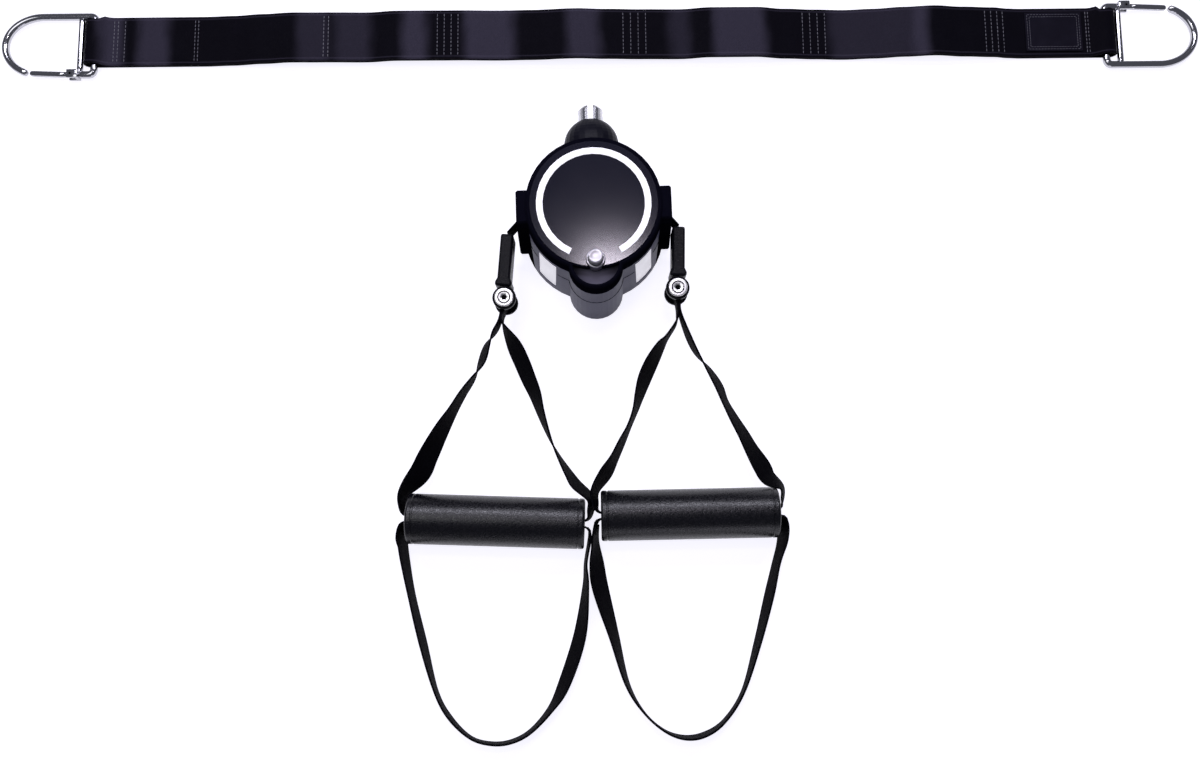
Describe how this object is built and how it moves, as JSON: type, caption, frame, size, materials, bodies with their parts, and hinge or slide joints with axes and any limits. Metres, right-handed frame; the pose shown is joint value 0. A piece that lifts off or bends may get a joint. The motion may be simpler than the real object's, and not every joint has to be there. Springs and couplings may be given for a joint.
{
  "type": "training strap",
  "caption": "Self-winding suspension training strap: round reel housing with release button and swivel, handles with foot loops, and a flat anchor strap with carabiners.",
  "frame": {"origin": "centre of the reel housing's back face, on the reel's axis", "axes": "+Z along the reel's axis, out of the housing's face; +Y towards the swivel stud, -Y towards the release button and the handles; +X to the right as seen from the face"},
  "size_m": [0.916, 0.5542, 0.087],
  "materials": {
    "satin_black": "satin moulded plastic",
    "gloss_black": "polished moulded plastic",
    "white_trim": "satin white plastic",
    "steel": "machined steel",
    "polished_steel": "polished plating",
    "bronze": "bearing bronze",
    "rubber": "matt black rubber",
    "webbing": "woven black webbing"
  },
  "bodies": {
    "housing": {"rear_shell": "satin_black", "middle_shell": "satin_black", "front_cover": "gloss_black", "face_plate": "gloss_black", "ring_inlay": "white_trim", "side_window_left": "white_trim", "side_window_right": "white_trim", "swivel_neck": "satin_black", "swivel_washer": "bronze", "button_collar": "polished_steel", "button_spring": "steel", "pawl_pin": "steel", "reel_axle": "steel", "rear_bush": "bronze", "front_bush": "bronze", "spring_cup": "steel", "spring_cover": "steel", "recoil_spring": "steel", "case_screw_left_top": "steel", "case_screw_right_top": "steel", "case_screw_left_bottom": "steel", "case_screw_right_bottom": "steel", "roller_pin_left": "steel", "roller_pin_right": "steel", "strap_lead_left": "webbing", "strap_lead_right": "webbing", "strap_tail_left": "webbing", "strap_tail_right": "webbing", "anchor_webbing": "webbing", "anchor_label": "satin_black"},
    "swivel": {"swivel_stud": "steel"},
    "button": {"release_button": "polished_steel"},
    "pawl": {"pawl": "steel"},
    "reel": {"reel": "satin_black", "ratchet_wheel": "steel", "wound_webbing": "webbing"},
    "left_roller": {"guide_roller_left": "steel"},
    "right_roller": {"guide_roller_right": "steel"},
    "left_strap_end": {"strap_sleeve_left": "rubber", "link_shackle_left": "satin_black", "link_bolt_left": "polished_steel"},
    "right_strap_end": {"strap_sleeve_right": "rubber", "link_shackle_right": "satin_black", "link_bolt_right": "polished_steel"},
    "left_handle": {"handle_webbing_left": "webbing", "foot_loop_left": "webbing"},
    "right_handle": {"handle_webbing_right": "webbing", "foot_loop_right": "webbing"},
    "left_grip": {"grip_left": "rubber", "grip_tube_left": "satin_black"},
    "right_grip": {"grip_right": "rubber", "grip_tube_right": "satin_black"},
    "left_carabiner": {"carabiner_left": "polished_steel", "gate_pin_left": "steel"},
    "right_carabiner": {"carabiner_right": "polished_steel", "gate_pin_right": "steel"},
    "left_gate": {"gate_left": "polished_steel"},
    "right_gate": {"gate_right": "polished_steel"}
  },
  "joints": [
    {"name": "left_strap_pull", "type": "slide", "parent": "housing", "child": "left_strap_end", "axis": [0, -1, 0], "range_m": [0, 1.2], "stiffness_N_per_m": 2, "springref_m": -1.8, "deforming": ["strap_tail_left"]},
    {"name": "right_strap_pull", "type": "slide", "parent": "housing", "child": "right_strap_end", "axis": [0, -1, 0], "range_m": [0, 1.2], "deforming": ["strap_tail_right"]},
    {"name": "reel_turn", "type": "hinge", "parent": "housing", "child": "reel", "pos_m": [0, 0, 0.03], "axis": [0, 0, 1], "continuous": true},
    {"name": "left_roller_turn", "type": "hinge", "parent": "housing", "child": "left_roller", "pos_m": [-0.0475, 0.0035, 0.03], "axis": [0, 0, 1], "continuous": true},
    {"name": "right_roller_turn", "type": "hinge", "parent": "housing", "child": "right_roller", "pos_m": [0.0475, 0.0035, 0.03], "axis": [0, 0, 1], "continuous": true},
    {"name": "button_press", "type": "slide", "parent": "housing", "child": "button", "axis": [0, 0, -1], "range_m": [0, 0.003], "stiffness_N_per_m": 400, "springref_m": -0.002, "deforming": ["button_spring"]},
    {"name": "pawl_swing", "type": "hinge", "parent": "housing", "child": "pawl", "pos_m": [0.01, -0.038, 0.044], "axis": [0, 0, 1], "range_deg": [-13.4, 0]},
    {"name": "swivel_turn", "type": "hinge", "parent": "housing", "child": "swivel", "pos_m": [0, 0.07, 0.038], "axis": [0, 1, 0], "continuous": true},
    {"name": "left_handle_swing", "type": "hinge", "parent": "left_strap_end", "child": "left_handle", "pos_m": [-0.0654, -0.0558, 0.03], "axis": [0, 0, 1], "range_deg": [-80, 0]},
    {"name": "right_handle_swing", "type": "hinge", "parent": "right_strap_end", "child": "right_handle", "pos_m": [0.0575, -0.0529, 0.03], "axis": [0, 0, 1], "range_deg": [0, 80]},
    {"name": "left_grip_spin", "type": "hinge", "parent": "left_handle", "child": "left_grip", "pos_m": [-0.0765, -0.212, 0.018], "axis": [0.9979, -0.0645, 0], "continuous": true},
    {"name": "right_grip_spin", "type": "hinge", "parent": "right_handle", "child": "right_grip", "pos_m": [0.0602, -0.2117, 0.018], "axis": [0.9999, -0.014, 0], "continuous": true},
    {"name": "left_carabiner_tilt", "type": "hinge", "parent": "housing", "child": "left_carabiner", "pos_m": [-0.37689, 0.16325, 0.00515], "axis": [0.0244, 0.9997, 0], "range_deg": [-80, 80]},
    {"name": "right_carabiner_tilt", "type": "hinge", "parent": "housing", "child": "right_carabiner", "pos_m": [0.39669, 0.14435, 0.00515], "axis": [0.0244, 0.9997, 0], "range_deg": [-80, 80]},
    {"name": "left_gate_open", "type": "hinge", "parent": "left_carabiner", "child": "left_gate", "pos_m": [-0.39404, 0.13656, 0.00515], "axis": [0, 0, -1], "range_deg": [0, 25], "stiffness_Nm_per_rad": 0.05, "springref_deg": -14.32},
    {"name": "right_gate_open", "type": "hinge", "parent": "right_carabiner", "child": "right_gate", "pos_m": [0.41366, 0.16364, 0.00515], "axis": [0, 0, -1], "range_deg": [0, 25], "stiffness_Nm_per_rad": 0.05, "springref_deg": -14.32}
  ],
  "couplings": [
    {"joint": "right_strap_pull", "follows": "left_strap_pull", "ratio": 1},
    {"joint": "reel_turn", "follows": "left_strap_pull", "rad_per_m": 38},
    {"joint": "left_roller_turn", "follows": "left_strap_pull", "rad_per_m": 250},
    {"joint": "right_roller_turn", "follows": "left_strap_pull", "rad_per_m": -250},
    {"joint": "pawl_swing", "follows": "button_press", "rad_per_m": -76.7}
  ]
}
